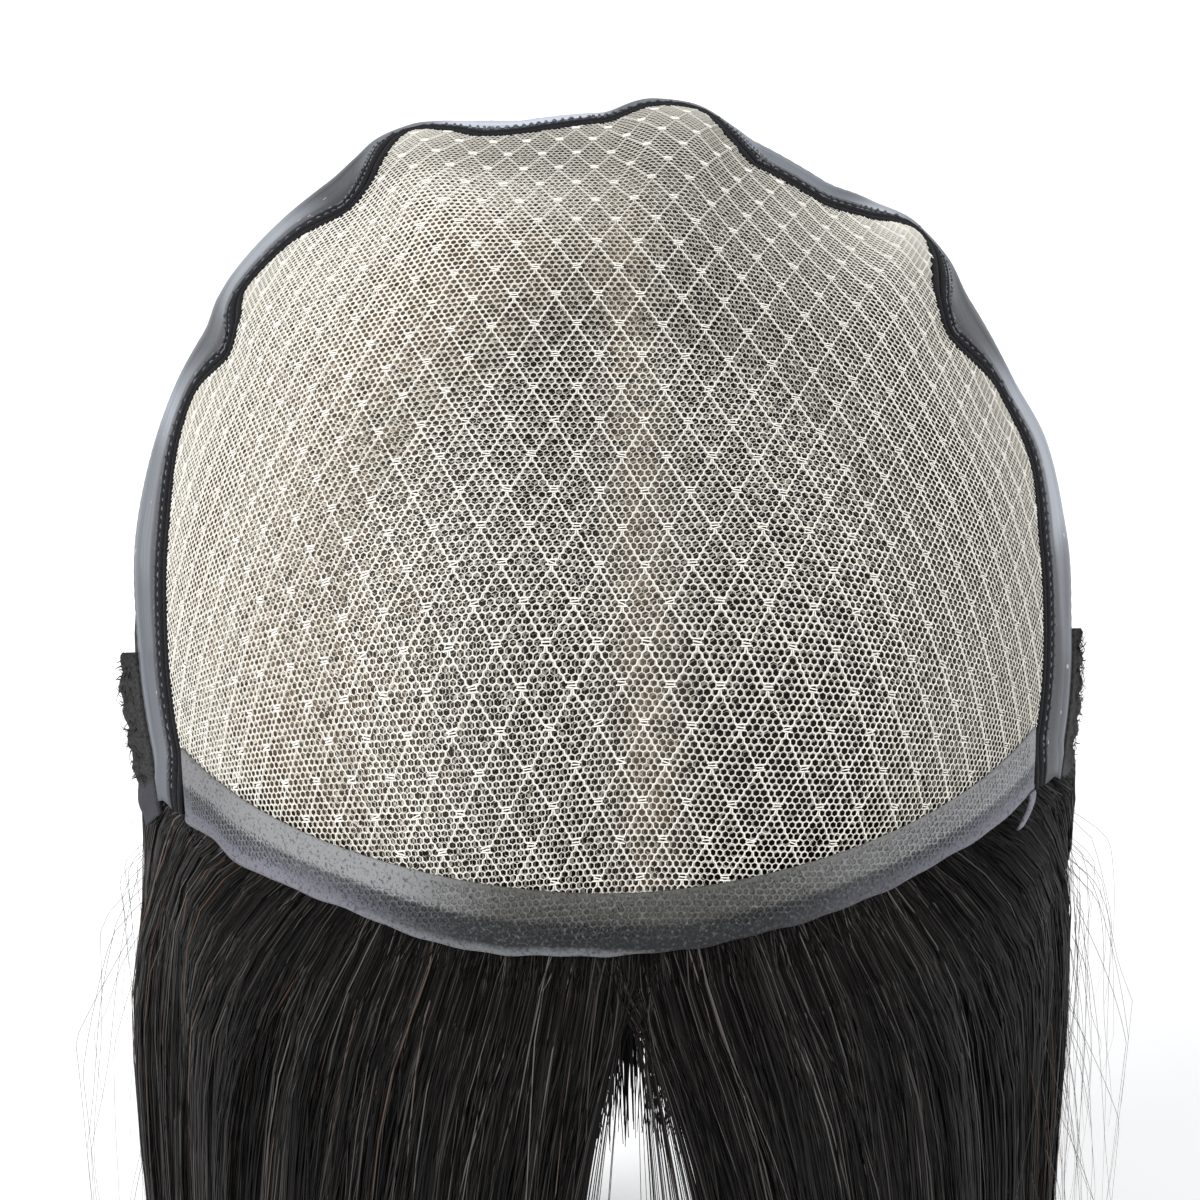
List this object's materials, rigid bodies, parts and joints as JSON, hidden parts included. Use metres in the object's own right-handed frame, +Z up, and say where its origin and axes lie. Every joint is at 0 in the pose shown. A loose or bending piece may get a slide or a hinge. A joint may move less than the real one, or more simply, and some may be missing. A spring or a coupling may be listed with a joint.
{
  "type": "silk top wig",
  "caption": "Wig turned inside out: ivory lace dome with a grey front band and scalloped corded tape, over near-black straight hair that hangs below the rim.",
  "frame": {"origin": "inside of the crown, where the top of the head meets the wig", "axes": "+Z up towards the crown, the front hairline faces -Y, the wearer's left ear is on +X"},
  "size_m": [0.1948, 0.2217, 0.3402],
  "materials": {
    "lace": "ivory net with a diamond pattern",
    "front_band": "matt grey coated cloth",
    "cord": "black braided cord",
    "tape": "smooth semi-gloss grey",
    "dark_cloth": "matt dark stretch cloth",
    "hair": "straight near-black hair with a soft sheen"
  },
  "bodies": {
    "root": {"lace_top": "lace", "front_band": "front_band", "seam_cord": "cord", "stitched_cord": "cord", "grip_tape": "tape", "ear_tab_left": "dark_cloth", "ear_tab_right": "dark_cloth", "back_cap": "dark_cloth", "hair_left": "hair", "hair_right": "hair", "hair_back": "hair"}
  },
  "joints": []
}
